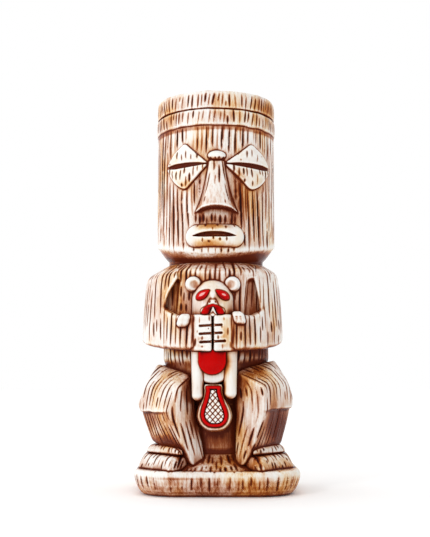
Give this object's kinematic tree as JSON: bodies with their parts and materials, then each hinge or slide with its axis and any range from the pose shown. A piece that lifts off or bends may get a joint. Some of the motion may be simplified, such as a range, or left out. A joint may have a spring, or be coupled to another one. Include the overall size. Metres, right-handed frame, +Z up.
{
  "type": "tiki mug",
  "caption": "Tall glazed ceramic tiki mug: a crouching wood-grained idol that holds a small beaver, on a rounded plinth.",
  "frame": {"origin": "middle of the plinth's underside, on the table", "axes": "+Z up through the mouth of the mug; the figure faces -Y; +X is on the right of someone who faces it"},
  "size_m": [0.0958, 0.095, 0.23],
  "materials": {
    "stained_cream_glaze": "gloss, cream over a brown wash that gathers in the cuts",
    "white_glaze": "gloss",
    "red_glaze": "high gloss"
  },
  "bodies": {
    "root": {"vessel": "stained_cream_glaze", "plinth": "stained_cream_glaze", "upper_headband": "stained_cream_glaze", "lower_headband": "stained_cream_glaze", "left_upper_eyelid": "white_glaze", "left_lower_eyelid": "white_glaze", "right_upper_eyelid": "white_glaze", "right_lower_eyelid": "white_glaze", "brow_bead": "white_glaze", "nose": "stained_cream_glaze", "lips": "white_glaze", "chin": "stained_cream_glaze", "chest": "stained_cream_glaze", "seat": "stained_cream_glaze", "left_arm": "stained_cream_glaze", "right_arm": "stained_cream_glaze", "left_hand": "white_glaze", "right_hand": "white_glaze", "left_thigh": "stained_cream_glaze", "right_thigh": "stained_cream_glaze", "left_shin": "stained_cream_glaze", "right_shin": "stained_cream_glaze", "left_ankle": "stained_cream_glaze", "right_ankle": "stained_cream_glaze", "left_foot": "stained_cream_glaze", "right_foot": "stained_cream_glaze", "beaver_head": "white_glaze", "beaver_muzzle": "white_glaze", "beaver_mouth": "red_glaze", "beaver_teeth": "white_glaze", "beaver_eyes": "red_glaze", "beaver_left_ear": "white_glaze", "beaver_right_ear": "white_glaze", "beaver_left_paw": "stained_cream_glaze", "beaver_right_paw": "stained_cream_glaze", "beaver_body": "white_glaze", "beaver_belly_panel": "red_glaze", "beaver_left_leg": "white_glaze", "beaver_right_leg": "white_glaze", "beaver_tail": "stained_cream_glaze", "beaver_tail_border": "red_glaze", "beaver_tail_scales": "white_glaze"}
  },
  "joints": []
}
